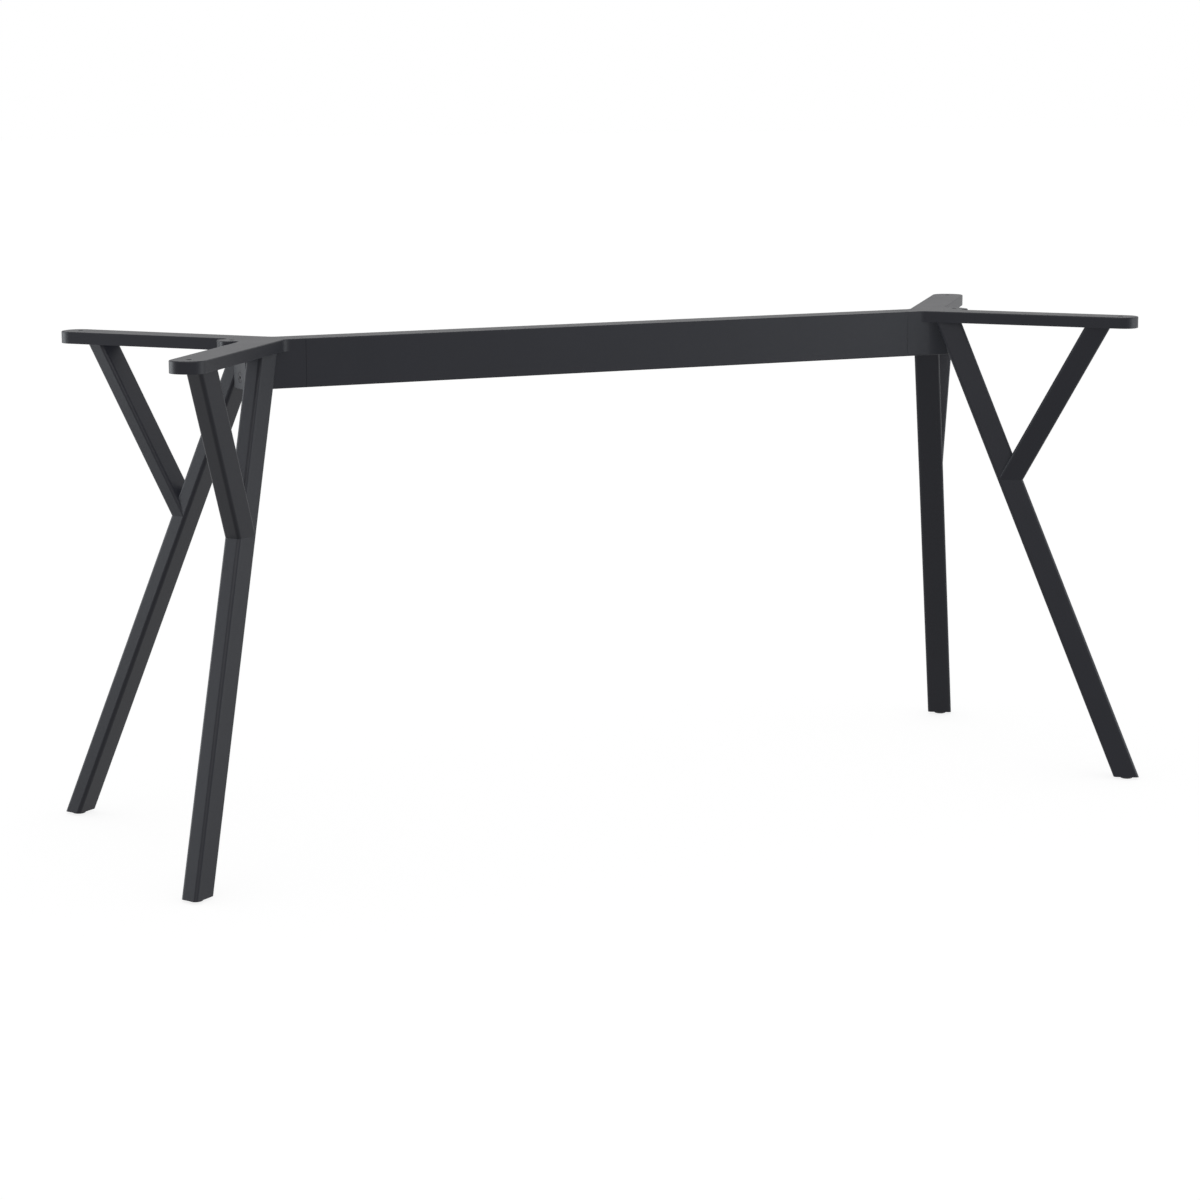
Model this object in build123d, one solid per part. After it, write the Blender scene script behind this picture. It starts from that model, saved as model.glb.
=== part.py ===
"""Outdoor table base: a straight beam between two Y-shaped end brackets, standing on four Y-legs.

Millimetres, +Z up, X along the beam, origin on the floor under the middle of the base.
Each piece is modelled for the right-hand end or the back right corner and mirrored to the others.
"""
from build123d import *
from math import cos, radians, sin
import os

# Overall
HEIGHT = 720.0  # floor to the top of the plates
EDGE_RADIUS = 1.5  # eased long edges of the beam and the brackets
SLIDING_GAP = 0.3  # room round a piece that slides into another

# Beam
BEAM_LENGTH = 997.0
BEAM_WIDTH = 47.0
BEAM_DEPTH = 69.0
BEAM_WALL = 3.0
SEAM_BEVEL = 0.6  # round the beam's ends, so that the seam with each bracket shows

# End bracket: the plate with its two arms, and the hub and spigot under it
PLATE_THICKNESS = 17.0
ARM_ANGLE = 50.3  # in plan, between an arm and the beam
ARM_OFFSET = 45.5  # from the beam's end to where the arms' centre lines meet
ARM_LENGTH = 338.5  # from that point to the tip
ARM_WIDTH = 50.0
TIP_RADIUS = 22.0
ROOT_FILLET = 18.0  # between an arm and the beam
HUB_LENGTH = 90.0
LOBE_REACH = 30.0  # of the short lobe between the arms, past the hub
LOBE_WIDTH = 36.0
LOBE_RADIUS = 12.0
NOTCH_FILLET = 6.5  # between an arm and the lobe
SPIGOT_LENGTH = 40.0
TOP_HOLE_DIAMETER = 8.0
TIP_HOLE_INSET = 26.5  # from the arm's tip
LOBE_HOLE_INSET = 19.0  # from the lobe's end

# Leg: places along the arm's centre line, and the kite that every level section of the leg shows
LEG_TOP_OUT = 43.0
LEG_FOOT_OUT = 345.5
BRACE_TOP_OUT = 279.5
JOINT_HEIGHT = 461.0  # where the brace's and the main leg's sections become one
KITE_INNER = 30.5  # from the leg's line to the corner that points along the beam to its middle
KITE_OUTER = 17.5  # to the opposite corner
KITE_SHOULDER = 5.0  # how far out the two side corners are
KITE_HALF_WIDTH = 23.2
KITE_RADIUS = 5.0

# Foot glide
GLIDE_HEIGHT = 4.0
GLIDE_DIAMETER = 20.0
GLIDE_ROUNDING = 2.0
GLIDE_STEM_DIAMETER = 8.0
GLIDE_STEM_LENGTH = 18.0
GLIDE_FIT = 0.1  # between the stem and its bore, on the radius

# Beam bolt, sunk flush in the hub, and the anchor it is screwed into
BOLT_DIAMETER = 8.0
BOLT_DROP = 53.0  # of its axis below the top of the plates
BOLT_HEAD_DIAMETER = 15.0
BOLT_SOCKET = 5.0  # across flats
BOLT_SOCKET_DEPTH = 3.0
BOLT_HOLE_GAP = 0.25  # between the bolt and the hole it passes, on the radius
THREAD_GAP = 0.05  # between the bolt and the anchor's thread, on the radius
ANCHOR_THICKNESS = 12.0
ANCHOR_GAP = 4.0  # between the spigot's end and the anchor

# Levels and stations that follow from the sizes above
PLATE_UNDERSIDE = HEIGHT - PLATE_THICKNESS
BEAM_MIDDLE = HEIGHT - BEAM_DEPTH / 2
BEAM_END = BEAM_LENGTH / 2
HUB_END = BEAM_END + HUB_LENGTH
LOBE_END = HUB_END + LOBE_REACH
ARM_ORIGIN = BEAM_END + ARM_OFFSET
BOLT_LEVEL = HEIGHT - BOLT_DROP
ANCHOR_OUTER = BEAM_END - SPIGOT_LENGTH - ANCHOR_GAP
ANCHOR_INNER = ANCHOR_OUTER - ANCHOR_THICKNESS
TIP_HOLE_OUT = ARM_LENGTH - TIP_HOLE_INSET
LOBE_HOLE_X = LOBE_END - LOBE_HOLE_INSET


def on_arm(out, height=0.0, aside=0.0):
    """A point at a distance along an arm's centre line, and aside from it towards the other arm."""
    angle = radians(ARM_ANGLE)
    x = ARM_ORIGIN + out * cos(angle) + aside * sin(angle)
    y = out * sin(angle) - aside * cos(angle)
    return Vector(x, y, height)


def nearest(shapes, point):
    return min(shapes, key=lambda shape: (shape.center() - point).length)


def mirrored_in_y(shape):
    return mirror(shape, about=Plane.XZ)


def along_x(shape, x):
    """A shape that was drawn along +Z from the origin, laid along +X at the bolt's level."""
    return Pos(x, 0, BOLT_LEVEL) * Rot(0, 90, 0) * shape


def beam():
    outer = RectangleRounded(BEAM_DEPTH, BEAM_WIDTH, EDGE_RADIUS)
    inner = Rectangle(BEAM_DEPTH - 2 * BEAM_WALL, BEAM_WIDTH - 2 * BEAM_WALL)
    tube = extrude(outer - inner, BEAM_LENGTH)
    ends = tube.faces().filter_by(Axis.Z)
    tube = chamfer([edge for end in ends for edge in end.outer_wire().edges()], SEAM_BEVEL)
    return Pos(-BEAM_END, 0, BEAM_MIDDLE) * Rot(0, 90, 0) * tube


def arm_corner(aside, y):
    """Where an edge of the back arm, that far aside from its centre line, is y from the beam's middle plane."""
    foot = on_arm(0, aside=aside)
    return on_arm((y - foot.Y) / sin(radians(ARM_ANGLE)), aside=aside)


def plate_outline():
    arm = Rectangle(ARM_LENGTH, ARM_WIDTH, align=(Align.MIN, Align.CENTER))
    arm = fillet(arm.vertices().group_by(Axis.X)[-1], TIP_RADIUS)
    arm = Pos(ARM_ORIGIN, 0) * Rot(0, 0, ARM_ANGLE) * arm
    strip = Pos(BEAM_END, 0) * Rectangle(HUB_LENGTH, BEAM_WIDTH, align=(Align.MIN, Align.CENTER))
    lobe = Rectangle(LOBE_END - ARM_ORIGIN, LOBE_WIDTH, align=(Align.MIN, Align.CENTER))
    lobe = fillet(lobe.vertices().group_by(Axis.X)[-1], LOBE_RADIUS)
    outline = strip + arm + mirrored_in_y(arm) + Pos(ARM_ORIGIN, 0) * lobe

    root = arm_corner(-ARM_WIDTH / 2, BEAM_WIDTH / 2)
    notch = arm_corner(ARM_WIDTH / 2, LOBE_WIDTH / 2)
    for corner, radius in ((root, ROOT_FILLET), (notch, NOTCH_FILLET)):
        for place in (corner, Vector(corner.X, -corner.Y)):
            outline = fillet(nearest(outline.vertices(), place), radius)
    return outline


def hub_block():
    """The block under the plate that carries the beam's section on to the outer end."""
    depth = BEAM_DEPTH - PLATE_THICKNESS
    place = Pos(BEAM_END + HUB_LENGTH / 2, 0, PLATE_UNDERSIDE - depth / 2)
    return place * Box(HUB_LENGTH, BEAM_WIDTH, depth)


def bolt_form(length, room=0.0):
    """A countersunk bolt with its head flush in the hub's end face, or with room added, the hole it needs."""
    shank_radius = BOLT_DIAMETER / 2 + room
    head_radius = BOLT_HEAD_DIAMETER / 2 + room
    downwards = (Align.CENTER, Align.CENTER, Align.MAX)
    head = Cone(shank_radius, head_radius, head_radius - shank_radius, align=downwards)
    return along_x(head + Cylinder(shank_radius, length, align=downwards), HUB_END)


def top_holes():
    """The holes for the screws that hold a table top: one in each arm's tip, one in the lobe."""
    hole = Cylinder(TOP_HOLE_DIAMETER / 2, PLATE_THICKNESS, align=(Align.CENTER, Align.CENTER, Align.MIN))
    tip_hole = Pos(*on_arm(TIP_HOLE_OUT, PLATE_UNDERSIDE)) * hole
    lobe_hole = Pos(LOBE_HOLE_X, 0, PLATE_UNDERSIDE) * hole
    return [tip_hole, mirrored_in_y(tip_hole), lobe_hole]


def end_bracket():
    plate = extrude(Pos(0, 0, PLATE_UNDERSIDE) * plate_outline(), PLATE_THICKNESS)
    hub = hub_block()
    lower_edges = hub.edges().filter_by(Axis.X).group_by(Axis.Z)[0]
    bracket = fillet(lower_edges, EDGE_RADIUS) + plate
    at_seam = bracket.faces().sort_by(Axis.X)[0].edges()
    rim = bracket.faces().sort_by(Axis.Z)[-1].edges()
    bracket = fillet([edge for edge in rim if edge not in at_seam], EDGE_RADIUS)

    inner_width = BEAM_WIDTH - 2 * BEAM_WALL
    inner_depth = BEAM_DEPTH - 2 * BEAM_WALL
    spigot = Box(SPIGOT_LENGTH, inner_width - 2 * SLIDING_GAP, inner_depth - 2 * SLIDING_GAP)
    bracket += Pos(BEAM_END - SPIGOT_LENGTH / 2, 0, BEAM_MIDDLE) * spigot
    bracket -= bolt_form(HUB_LENGTH + SPIGOT_LENGTH, BOLT_HOLE_GAP)
    bracket -= top_holes()
    return bracket


def kite():
    corners = [
        (KITE_OUTER, 0),
        (KITE_SHOULDER, KITE_HALF_WIDTH),
        (-KITE_INNER, 0),
        (KITE_SHOULDER, -KITE_HALF_WIDTH),
    ]
    outline = make_face(Polyline(*corners, close=True))
    return fillet(outline.vertices(), KITE_RADIUS)


def slanted_bar(start, end):
    """A bar whose level sections are all the same kite, between two points on its line."""
    run = end - start
    return extrude(Pos(*start) * kite(), run.length, dir=run.normalized())


def foot_centre(height):
    """The middle of the kite at the foot, where the glide sits."""
    middle = (KITE_OUTER - KITE_INNER + KITE_SHOULDER) / 3
    return on_arm(LEG_FOOT_OUT, height) + Vector(middle, 0, 0)


def leg():
    top = on_arm(LEG_TOP_OUT, PLATE_UNDERSIDE)
    foot = on_arm(LEG_FOOT_OUT, GLIDE_HEIGHT)
    share = (PLATE_UNDERSIDE - JOINT_HEIGHT) / (PLATE_UNDERSIDE - GLIDE_HEIGHT)
    joint = top + (foot - top) * share
    body = slanted_bar(top, foot) + slanted_bar(joint, on_arm(BRACE_TOP_OUT, PLATE_UNDERSIDE))
    body -= hub_block()
    bore = Cylinder(
        GLIDE_STEM_DIAMETER / 2 + GLIDE_FIT,
        GLIDE_STEM_LENGTH,
        align=(Align.CENTER, Align.CENTER, Align.MIN),
    )
    return body - Pos(*foot_centre(GLIDE_HEIGHT)) * bore


def foot_glide():
    upright = (Align.CENTER, Align.CENTER, Align.MIN)
    disc = Cylinder(GLIDE_DIAMETER / 2, GLIDE_HEIGHT, align=upright)
    disc = fillet(disc.edges().filter_by(GeomType.CIRCLE).group_by(Axis.Z)[0], GLIDE_ROUNDING)
    stem = Cylinder(GLIDE_STEM_DIAMETER / 2, GLIDE_STEM_LENGTH, align=upright)
    return Pos(*foot_centre(0)) * (disc + Pos(0, 0, GLIDE_HEIGHT) * stem)


def beam_bolt():
    socket = extrude(RegularPolygon(BOLT_SOCKET / 2, 6, major_radius=False), BOLT_SOCKET_DEPTH)
    return bolt_form(HUB_END - ANCHOR_INNER) - along_x(socket, HUB_END - BOLT_SOCKET_DEPTH)


def beam_anchor():
    place = Pos(ANCHOR_INNER + ANCHOR_THICKNESS / 2, 0, BEAM_MIDDLE)
    block = place * Box(ANCHOR_THICKNESS, BEAM_WIDTH - 2 * BEAM_WALL, BEAM_DEPTH - 2 * BEAM_WALL)
    hole = Cylinder(BOLT_DIAMETER / 2 + THREAD_GAP, 2 * ANCHOR_THICKNESS)
    return block - along_x(hole, ANCHOR_INNER + ANCHOR_THICKNESS / 2)


def save(shape, name):
    export_step(shape, f"parts/{name}.step")


def main():
    os.makedirs("parts", exist_ok=True)
    save(beam(), "beam")
    ends = {
        "end_bracket": end_bracket(),
        "beam_bolt": beam_bolt(),
        "beam_anchor": beam_anchor(),
    }
    for name, right in ends.items():
        save(right, f"{name}_right")
        save(mirror(right, about=Plane.YZ), f"{name}_left")
    corners = {"leg": leg(), "foot_glide": foot_glide()}
    for name, back_right in corners.items():
        front_right = mirrored_in_y(back_right)
        save(back_right, f"{name}_back_right")
        save(front_right, f"{name}_front_right")
        save(mirror(back_right, about=Plane.YZ), f"{name}_back_left")
        save(mirror(front_right, about=Plane.YZ), f"{name}_front_left")


main()
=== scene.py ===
"""Outdoor table base in a plain white studio.

The beam, the end brackets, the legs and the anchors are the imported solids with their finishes.
The foot glides and the beam bolts are modelled here, with the small forms that the solids leave out.
Metres, +Z up, X along the beam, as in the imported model.
"""

from math import cos, pi, radians, sin, sqrt

import bmesh
import bpy
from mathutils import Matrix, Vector


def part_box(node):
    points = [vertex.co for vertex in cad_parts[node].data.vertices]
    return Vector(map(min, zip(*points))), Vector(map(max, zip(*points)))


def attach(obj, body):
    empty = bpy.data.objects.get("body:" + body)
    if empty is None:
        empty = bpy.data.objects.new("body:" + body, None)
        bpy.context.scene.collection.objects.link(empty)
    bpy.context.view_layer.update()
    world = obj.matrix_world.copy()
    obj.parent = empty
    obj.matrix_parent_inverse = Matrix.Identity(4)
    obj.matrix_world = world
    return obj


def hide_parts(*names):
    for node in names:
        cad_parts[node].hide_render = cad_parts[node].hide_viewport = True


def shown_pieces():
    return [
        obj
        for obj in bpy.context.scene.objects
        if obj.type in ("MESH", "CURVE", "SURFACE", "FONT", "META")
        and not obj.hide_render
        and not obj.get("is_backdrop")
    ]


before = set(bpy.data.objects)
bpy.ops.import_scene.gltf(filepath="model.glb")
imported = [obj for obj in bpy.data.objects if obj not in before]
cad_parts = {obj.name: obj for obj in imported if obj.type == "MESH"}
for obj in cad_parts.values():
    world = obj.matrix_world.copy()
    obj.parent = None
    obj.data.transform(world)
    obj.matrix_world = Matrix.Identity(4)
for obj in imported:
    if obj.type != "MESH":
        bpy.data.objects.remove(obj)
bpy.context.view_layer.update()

MM = 0.001
NEAR = 0.01 * MM  # how close to a level a corner has to be to lie on it
SMOOTH_BELOW = radians(35)  # faces that meet at less than this are shaded as one surface
EDGE_STEPS = 2  # facets across a small rounded edge
CHAMFER_STEPS = 1

# Foot glide: the disc under the leg, its dimpled sole, and the barbed stem pressed into the leg
GLIDE_SIDES = 64
GLIDE_RADIUS = 10 * MM
GLIDE_HEIGHT = 4 * MM
GLIDE_ROUNDING = 2 * MM
ROUNDING_STEPS = 6
GLIDE_TOP_EDGE = 0.3 * MM
SOLE_RING = 4.6 * MM  # flat ring round the dimple
SOLE_DIMPLE = 0.4 * MM
DIMPLE_TAPER = 0.8
STEM_RADIUS = 4 * MM
STEM_LENGTH = 18 * MM
STEM_BARBS = 4
BARB_TAPER = 0.86

# Beam bolt: a countersunk head flush with the hub's end, a hexagon socket and a plain shank
BOLT_SIDES = 48
BOLT_RADIUS = 4 * MM
BOLT_CONE = 3.1 * MM  # length of the head's cone
BOLT_LAND = 0.4 * MM  # straight rim of the head
BOLT_HEAD_RADIUS = 7.1 * MM
BOLT_RIM_EDGE = 0.15 * MM
BOLT_TIP_EDGE = 1 * MM
SOCKET_SIDES = 6
SOCKET_WIDTH = 5 * MM  # across the hexagon's flats
SOCKET_RADIUS = SOCKET_WIDTH / sqrt(3)  # to a corner of it
SOCKET_DEPTH = 3 * MM
SOCKET_EDGE = 0.3 * MM

# Studio
WHITE = "#ffffff"
ROOM_FILL = 0.55  # light from all round, next to the 1.0 of the backdrop as it is seen
FLOOR_SIZE = 80
FLOOR_GREY = "#959595"
FLOOR_GLOW = 0.845  # added where the floor is seen, to make it as white as the backdrop
LAMP_DISTANCE = 3.5
LAMP_AIM = Vector((0, 0, 0.45))

# Camera: its lens and the middle of its view are in pixels of the square picture
CAMERA_PLACE = (-1.98547, -3.91694, 1.09602)
CAMERA_DIP = 10.323  # degrees below level
CAMERA_TURN = 27.056  # degrees from +Y towards +X
PICTURE = 1200
FOCAL_LENGTH = 2954.37
MIDDLE_X = 624.15
MIDDLE_Y = 604.0
SENSOR = 36

# Sockets of a Mix node for colours, whose names its other kinds have too
MIX_SHARE = 0
MIX_FROM = 6
MIX_TO = 7
MIXED = 2


def linear(hex_colour):
    """An sRGB hex colour as linear red, green, blue and alpha."""
    channels = []
    for start in (1, 3, 5):
        value = int(hex_colour[start:start + 2], 16) / 255
        channels.append(value / 12.92 if value <= 0.04045 else ((value + 0.055) / 1.055) ** 2.4)
    return (*channels, 1.0)


def every(millimetres):
    """The scale of a pattern that repeats once in that many millimetres."""
    return 1000 / millimetres


def new_tree(owner):
    owner.use_nodes = True
    owner.node_tree.nodes.clear()
    return owner.node_tree


def add_node(tree, kind, inputs, **settings):
    """A node with its settings, and its inputs given as values or as other nodes' outputs."""
    node = tree.nodes.new(kind)
    for name, value in settings.items():
        setattr(node, name, value)
    for name, value in inputs.items():
        socket = node.inputs[name]
        if isinstance(value, bpy.types.NodeSocket):
            tree.links.new(value, socket)
        else:
            socket.default_value = value
    return node


def charcoal_powder_coat():
    """Polyester powder, sprayed on the aluminium and baked to a satin film.

    To the eye it is an even blue-black charcoal. The film is a little glossier where it lies thinner,
    and has the grit and faint orange peel of melted powder, which show only close by.
    Real grit is finer than the 1 mm here, which is as coarse as it needs to be to show there.
    """
    material = bpy.data.materials.new("charcoal_powder_coat")
    tree = new_tree(material)
    place = add_node(tree, "ShaderNodeTexCoord", {}).outputs["Object"]
    film = add_node(tree, "ShaderNodeTexNoise", {"Vector": place, "Scale": every(60), "Detail": 3.0})
    peel = add_node(tree, "ShaderNodeTexNoise", {"Vector": place, "Scale": every(2.5), "Detail": 1.0})
    grit = add_node(tree, "ShaderNodeTexNoise", {"Vector": place, "Scale": every(1), "Detail": 2.0})
    colour = add_node(tree, "ShaderNodeMix", {
        MIX_SHARE: film.outputs["Fac"],
        MIX_FROM: linear("#17181e"),
        MIX_TO: linear("#1b1c22"),
    }, data_type="RGBA")
    satin = add_node(tree, "ShaderNodeMapRange", {
        "Value": film.outputs["Fac"],
        "To Min": 0.42,
        "To Max": 0.48,
    })
    waves = add_node(tree, "ShaderNodeBump", {
        "Height": peel.outputs["Fac"],
        "Strength": 0.12,
        "Distance": 0.05 * MM,
    })
    relief = add_node(tree, "ShaderNodeBump", {
        "Height": grit.outputs["Fac"],
        "Strength": 0.7,
        "Distance": 0.08 * MM,
        "Normal": waves.outputs["Normal"],
    })
    surface = add_node(tree, "ShaderNodeBsdfPrincipled", {
        "Base Color": colour.outputs[MIXED],
        "Roughness": satin.outputs["Result"],
        "IOR": 1.31,
        "Normal": relief.outputs["Normal"],
    })
    add_node(tree, "ShaderNodeOutputMaterial", {"Surface": surface.outputs["BSDF"]})
    return material


def black_polyethylene():
    """Moulded polyethylene: dull black with the fine grain of an eroded mould, scuffed grey on the sole."""
    material = bpy.data.materials.new("black_polyethylene")
    tree = new_tree(material)
    place = add_node(tree, "ShaderNodeTexCoord", {}).outputs["Object"]
    grain = add_node(tree, "ShaderNodeTexNoise", {"Vector": place, "Scale": every(0.5), "Detail": 2.0})
    scuffs = add_node(tree, "ShaderNodeTexNoise", {"Vector": place, "Scale": every(3), "Detail": 5.0})
    height = add_node(tree, "ShaderNodeSeparateXYZ", {"Vector": place}).outputs["Z"]
    sole = add_node(tree, "ShaderNodeMapRange", {
        "Value": height,
        "From Max": 0.6 * MM,
        "To Min": 1.0,
        "To Max": 0.0,
    })
    patches = add_node(tree, "ShaderNodeMapRange", {
        "Value": scuffs.outputs["Fac"],
        "From Min": 0.45,
        "From Max": 0.65,
    })
    worn = add_node(tree, "ShaderNodeMath", {
        0: sole.outputs["Result"],
        1: patches.outputs["Result"],
    }, operation="MULTIPLY")
    colour = add_node(tree, "ShaderNodeMix", {
        MIX_SHARE: worn.outputs["Value"],
        MIX_FROM: linear("#17171a"),
        MIX_TO: linear("#3c3c3f"),
    }, data_type="RGBA")
    dull = add_node(tree, "ShaderNodeMapRange", {
        "Value": worn.outputs["Value"],
        "To Min": 0.5,
        "To Max": 0.7,
    })
    relief = add_node(tree, "ShaderNodeBump", {
        "Height": grain.outputs["Fac"],
        "Strength": 0.3,
        "Distance": 0.03 * MM,
    })
    surface = add_node(tree, "ShaderNodeBsdfPrincipled", {
        "Base Color": colour.outputs[MIXED],
        "Roughness": dull.outputs["Result"],
        "IOR": 1.51,
        "Normal": relief.outputs["Normal"],
    })
    add_node(tree, "ShaderNodeOutputMaterial", {"Surface": surface.outputs["BSDF"]})
    return material


def black_oxide_steel():
    """Steel blackened in a hot bath and oiled: a dark metal whose sheen is uneven from the oil."""
    material = bpy.data.materials.new("black_oxide_steel")
    tree = new_tree(material)
    place = add_node(tree, "ShaderNodeTexCoord", {}).outputs["Object"]
    oil = add_node(tree, "ShaderNodeTexNoise", {"Vector": place, "Scale": every(4), "Detail": 4.0})
    colour = add_node(tree, "ShaderNodeMix", {
        MIX_SHARE: oil.outputs["Fac"],
        MIX_FROM: linear("#29292b"),
        MIX_TO: linear("#3a393b"),
    }, data_type="RGBA")
    sheen = add_node(tree, "ShaderNodeMapRange", {
        "Value": oil.outputs["Fac"],
        "To Min": 0.38,
        "To Max": 0.55,
    })
    surface = add_node(tree, "ShaderNodeBsdfPrincipled", {
        "Base Color": colour.outputs[MIXED],
        "Metallic": 1.0,
        "Roughness": sheen.outputs["Result"],
    })
    add_node(tree, "ShaderNodeOutputMaterial", {"Surface": surface.outputs["BSDF"]})
    return material


def sawn_aluminium():
    """Aluminium bar sawn to length and left bare: pale grey metal with the saw's fine straight lines."""
    material = bpy.data.materials.new("sawn_aluminium")
    tree = new_tree(material)
    place = add_node(tree, "ShaderNodeTexCoord", {}).outputs["Object"]
    # At a scale of 1, waves repeat every pi / 10 and not every 1
    lines = add_node(tree, "ShaderNodeTexWave", {
        "Vector": place,
        "Scale": every(1.2) * pi / 10,
        "Distortion": 1.5,
        "Detail": 2.0,
    }, bands_direction="Z")
    colour = add_node(tree, "ShaderNodeMix", {
        MIX_SHARE: lines.outputs["Fac"],
        MIX_FROM: linear("#a9abad"),
        MIX_TO: linear("#c4c6c8"),
    }, data_type="RGBA")
    polish = add_node(tree, "ShaderNodeMapRange", {
        "Value": lines.outputs["Fac"],
        "To Min": 0.32,
        "To Max": 0.46,
    })
    relief = add_node(tree, "ShaderNodeBump", {
        "Height": lines.outputs["Fac"],
        "Strength": 0.4,
        "Distance": 0.03 * MM,
    })
    surface = add_node(tree, "ShaderNodeBsdfPrincipled", {
        "Base Color": colour.outputs[MIXED],
        "Metallic": 1.0,
        "Roughness": polish.outputs["Result"],
        "Normal": relief.outputs["Normal"],
    })
    add_node(tree, "ShaderNodeOutputMaterial", {"Surface": surface.outputs["BSDF"]})
    return material


def seen_as_backdrop(tree):
    """1 for rays that see or mirror the white backdrop, 0 for rays that only carry its light."""
    ray = add_node(tree, "ShaderNodeLightPath", {})
    mirrored = add_node(tree, "ShaderNodeMath", {
        0: ray.outputs["Is Glossy Ray"],
        1: ray.outputs["Is Transmission Ray"],
    }, operation="MAXIMUM")
    return add_node(tree, "ShaderNodeMath", {
        0: ray.outputs["Is Camera Ray"],
        1: mirrored.outputs["Value"],
    }, operation="MAXIMUM").outputs["Value"]


def pale_floor_paint():
    """Matt floor paint that takes the shadow of the base, and looks as white as the backdrop."""
    material = bpy.data.materials.new("pale_floor_paint")
    tree = new_tree(material)
    matt = add_node(tree, "ShaderNodeBsdfDiffuse", {"Color": linear(FLOOR_GREY)})
    level = add_node(tree, "ShaderNodeMath", {
        0: seen_as_backdrop(tree),
        1: FLOOR_GLOW,
    }, operation="MULTIPLY")
    glow = add_node(tree, "ShaderNodeEmission", {
        "Color": linear(WHITE),
        "Strength": level.outputs["Value"],
    })
    surface = add_node(tree, "ShaderNodeAddShader", {
        0: matt.outputs["BSDF"],
        1: glow.outputs["Emission"],
    })
    add_node(tree, "ShaderNodeOutputMaterial", {"Surface": surface.outputs["Shader"]})
    return material


def start_piece(name, **cylinder):
    """A cylinder at its size and place, with nothing else selected."""
    bpy.ops.object.select_all(action="DESELECT")
    bpy.ops.mesh.primitive_cylinder_add(**cylinder)
    bpy.ops.object.transform_apply(location=True, rotation=True, scale=True)
    piece = bpy.context.object
    piece.name = name
    return piece


def select(piece, kind, wanted):
    """In edit mode, selects only the edges or faces whose corners all pass the test."""
    bpy.ops.mesh.select_mode(type=kind)
    bpy.ops.mesh.select_all(action="DESELECT")
    body = bmesh.from_edit_mesh(piece.data)
    for item in body.edges if kind == "EDGE" else body.faces:
        if all(wanted(corner.co) for corner in item.verts):
            item.select_set(True)
    bmesh.update_edit_mesh(piece.data)


def finish_piece():
    """Turns the edited piece's faces outwards, leaves edit mode and smooths its curves."""
    bpy.ops.mesh.select_all(action="SELECT")
    bpy.ops.mesh.normals_make_consistent(inside=False)
    bpy.ops.object.mode_set(mode="OBJECT")
    bpy.ops.object.shade_smooth_by_angle(angle=SMOOTH_BELOW)


def copy_piece(piece, name):
    """A copy with its own mesh, the only object left selected."""
    bpy.ops.object.select_all(action="DESELECT")
    piece.select_set(True)
    bpy.context.view_layer.objects.active = piece
    bpy.ops.object.duplicate()
    bpy.context.object.name = name
    return bpy.context.object


def stand_for(piece, node, slot):
    """The piece takes the node's place on the only body, with the finish of that slot."""
    piece.data.materials.clear()
    piece.data.materials.append(finishes[slot])
    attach(piece, "root")
    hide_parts(node)


def middle_of(node):
    low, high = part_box(node)
    return (low + high) / 2


def model_glide(name, node):
    """A moulded glide: a disc rounded below, with a dimple in its sole and barbs on its stem."""
    x, y, _ = middle_of(node)
    glide = start_piece(
        name,
        vertices=GLIDE_SIDES,
        radius=GLIDE_RADIUS,
        depth=GLIDE_HEIGHT,
        location=(x, y, GLIDE_HEIGHT / 2),
    )
    bpy.ops.object.mode_set(mode="EDIT")
    select(glide, "EDGE", lambda corner: corner.z < NEAR)
    bpy.ops.mesh.bevel(offset=GLIDE_ROUNDING, segments=ROUNDING_STEPS, affect="EDGES")
    select(glide, "EDGE", lambda corner: corner.z > GLIDE_HEIGHT - NEAR)
    bpy.ops.mesh.bevel(offset=GLIDE_TOP_EDGE, segments=EDGE_STEPS, affect="EDGES")

    # Sole
    select(glide, "FACE", lambda corner: corner.z < NEAR)
    bpy.ops.mesh.inset(thickness=SOLE_RING)
    bpy.ops.mesh.extrude_region_move(TRANSFORM_OT_translate={"value": (0, 0, SOLE_DIMPLE)})
    bpy.ops.transform.resize(value=(DIMPLE_TAPER, DIMPLE_TAPER, 1), center_override=(x, y, SOLE_DIMPLE))

    # Stem: each barb narrows upwards and the next one steps out again
    select(glide, "FACE", lambda corner: corner.z > GLIDE_HEIGHT - NEAR)
    bpy.ops.mesh.inset(thickness=GLIDE_RADIUS - GLIDE_TOP_EDGE - STEM_RADIUS)
    barb = STEM_LENGTH / STEM_BARBS
    narrower = (BARB_TAPER, BARB_TAPER, 1)
    wider = (1 / BARB_TAPER, 1 / BARB_TAPER, 1)
    for count in range(1, STEM_BARBS + 1):
        top = (x, y, GLIDE_HEIGHT + barb * count)
        bpy.ops.mesh.extrude_region_move(TRANSFORM_OT_translate={"value": (0, 0, barb)})
        bpy.ops.transform.resize(value=narrower, center_override=top)
        if count < STEM_BARBS:
            bpy.ops.mesh.extrude_region_move(TRANSFORM_OT_translate={"value": (0, 0, 0)})
            bpy.ops.transform.resize(value=wider, center_override=top)
    finish_piece()
    return glide


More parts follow.
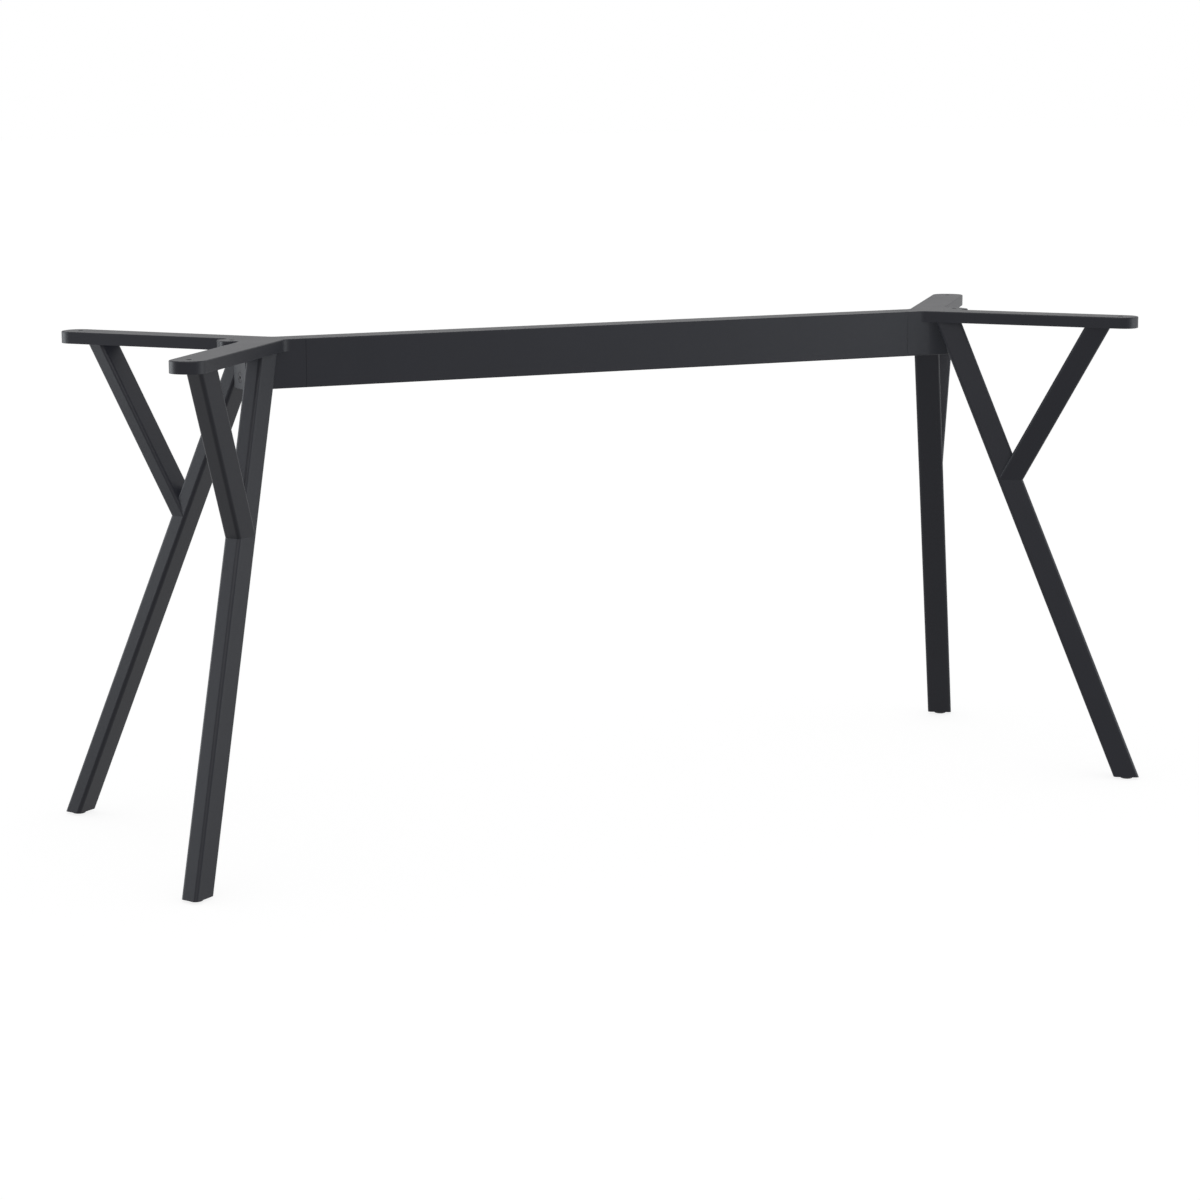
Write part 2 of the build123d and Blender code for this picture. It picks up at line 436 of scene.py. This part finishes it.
def model_bolt(name, node):
    """A countersunk bolt that lies along the beam: shank, cone, straight rim and hexagon socket."""
    low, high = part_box(node)
    _, y, z = middle_of(node)
    along_beam = (0, radians(90), 0)
    cone_start = high.x - BOLT_LAND - BOLT_CONE
    bolt = start_piece(
        name,
        vertices=BOLT_SIDES,
        radius=BOLT_RADIUS,
        depth=cone_start - low.x,
        location=((low.x + cone_start) / 2, y, z),
        rotation=along_beam,
    )
    bpy.ops.object.mode_set(mode="EDIT")
    select(bolt, "EDGE", lambda corner: corner.x < low.x + NEAR)
    bpy.ops.mesh.bevel(offset=BOLT_TIP_EDGE, segments=CHAMFER_STEPS, affect="EDGES")

    # Head
    select(bolt, "FACE", lambda corner: corner.x > cone_start - NEAR)
    wider = BOLT_HEAD_RADIUS / BOLT_RADIUS
    bpy.ops.mesh.extrude_region_move(TRANSFORM_OT_translate={"value": (BOLT_CONE, 0, 0)})
    bpy.ops.transform.resize(value=(1, wider, wider), center_override=(cone_start + BOLT_CONE, y, z))
    bpy.ops.mesh.extrude_region_move(TRANSFORM_OT_translate={"value": (BOLT_LAND, 0, 0)})
    select(bolt, "EDGE", lambda corner: corner.x > high.x - NEAR)
    bpy.ops.mesh.bevel(offset=BOLT_RIM_EDGE, segments=EDGE_STEPS, affect="EDGES")
    bpy.ops.object.mode_set(mode="OBJECT")

    # Socket: cut by a hexagonal key, and its mouth eased
    key = start_piece(
        "hexagon_key",
        vertices=SOCKET_SIDES,
        radius=SOCKET_RADIUS,
        depth=2 * SOCKET_DEPTH,
        location=(high.x, y, z),
        rotation=along_beam,
    )
    cut = bolt.modifiers.new("socket", "BOOLEAN")
    cut.operation = "DIFFERENCE"
    cut.solver = "EXACT"
    cut.object = key
    bpy.context.view_layer.objects.active = bolt
    bpy.ops.object.modifier_apply(modifier=cut.name)
    bpy.data.objects.remove(key)
    bolt.select_set(True)
    bpy.ops.object.mode_set(mode="EDIT")

    def at_mouth(corner):
        off_axis = Vector((corner.y - y, corner.z - z)).length
        return corner.x > high.x - NEAR and off_axis < SOCKET_RADIUS + NEAR

    select(bolt, "EDGE", at_mouth)
    bpy.ops.mesh.bevel(offset=SOCKET_EDGE, segments=EDGE_STEPS, affect="EDGES")
    finish_piece()
    return bolt


# Finishes, by the record's material slots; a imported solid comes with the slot's name on its material
finishes = {
    "coated_aluminium": charcoal_powder_coat(),
    "glide_plastic": black_polyethylene(),
    "black_steel": black_oxide_steel(),
    "bare_aluminium": sawn_aluminium(),
}
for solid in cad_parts.values():
    for material_slot in solid.material_slots:
        material_slot.material = finishes[material_slot.material.name]

# Foot glides: one is modelled and copied to the other feet
first_glide = model_glide("moulded_glide_front_left", "foot_glide_front_left")
first_foot = middle_of("foot_glide_front_left")
for foot in ("front_right", "back_left", "back_right"):
    glide = copy_piece(first_glide, f"moulded_glide_{foot}")
    bpy.ops.transform.translate(value=middle_of(f"foot_glide_{foot}") - first_foot)
    bpy.ops.object.transform_apply(location=True, rotation=True, scale=True)
    stand_for(glide, f"foot_glide_{foot}", "glide_plastic")
stand_for(first_glide, "foot_glide_front_left", "glide_plastic")

# Beam bolts: the left one is the right one turned half round
right_bolt = model_bolt("socket_bolt_right", "beam_bolt_right")
left_bolt = copy_piece(right_bolt, "socket_bolt_left")
bpy.ops.transform.rotate(value=radians(180), orient_axis="Z", center_override=(0, 0, 0))
bpy.ops.object.transform_apply(location=True, rotation=True, scale=True)
stand_for(left_bolt, "beam_bolt_left", "black_steel")
stand_for(right_bolt, "beam_bolt_right", "black_steel")

# White room
room = bpy.data.worlds.new("white_room")
bpy.context.scene.world = room
room_tree = new_tree(room)
room_level = add_node(room_tree, "ShaderNodeMapRange", {
    "Value": seen_as_backdrop(room_tree),
    "To Min": ROOM_FILL,
    "To Max": 1.0,
})
backdrop = add_node(room_tree, "ShaderNodeBackground", {
    "Color": linear(WHITE),
    "Strength": room_level.outputs["Result"],
})
add_node(room_tree, "ShaderNodeOutputWorld", {"Surface": backdrop.outputs["Background"]})

# Pale floor
bpy.ops.object.select_all(action="DESELECT")
bpy.ops.mesh.primitive_plane_add(size=FLOOR_SIZE)
floor = bpy.context.object
floor.name = "floor"
floor.data.materials.append(pale_floor_paint())
floor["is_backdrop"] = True

# Lamps: they fill in the base with no shadows of its own on it, and leave the floor to the room's light
lit_by_lamps = bpy.data.collections.new("lit_by_lamps")
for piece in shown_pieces():
    lit_by_lamps.objects.link(piece)


def softbox(name, azimuth, elevation, radius, brightness, colour):
    """A round soft lamp that faces the base; azimuth 0 is behind it and 90 at its right-hand end."""
    lamp_data = bpy.data.lights.new(name, "AREA")
    lamp_data.shape = "DISK"
    lamp_data.size = 2 * radius
    # The power of a disc of that brightness is pi times its area
    lamp_data.energy = brightness * pi * pi * radius ** 2
    lamp_data.color = linear(colour)[:3]
    lamp_data.use_shadow = False
    lamp = bpy.data.objects.new(name, lamp_data)
    bpy.context.scene.collection.objects.link(lamp)
    turn = radians(azimuth)
    rise = radians(elevation)
    way = Vector((sin(turn) * cos(rise), cos(turn) * cos(rise), sin(rise)))
    lamp.location = LAMP_AIM + LAMP_DISTANCE * way
    lamp.rotation_euler = way.to_track_quat("Z", "Y").to_euler()
    lamp.visible_camera = False
    lamp.light_linking.receiver_collection = lit_by_lamps


softbox("softbox_right", azimuth=123, elevation=3, radius=1.2, brightness=3.75, colour="#f7fcff")
softbox("softbox_left", azimuth=304, elevation=3, radius=1.05, brightness=5.4, colour="#f5fbff")
softbox("softbox_top", azimuth=217, elevation=51, radius=1.9, brightness=2.6, colour=WHITE)

# Camera
camera_data = bpy.data.cameras.new("camera")
camera = bpy.data.objects.new("camera", camera_data)
bpy.context.scene.collection.objects.link(camera)
camera.location = CAMERA_PLACE
camera.rotation_euler = (radians(90 - CAMERA_DIP), 0, radians(-CAMERA_TURN))
camera_data.sensor_width = SENSOR
camera_data.lens = FOCAL_LENGTH / PICTURE * SENSOR
camera_data.shift_x = 0.5 - MIDDLE_X / PICTURE
camera_data.shift_y = MIDDLE_Y / PICTURE - 0.5
bpy.context.scene.camera = camera

bpy.context.scene.view_settings.view_transform = "Standard"
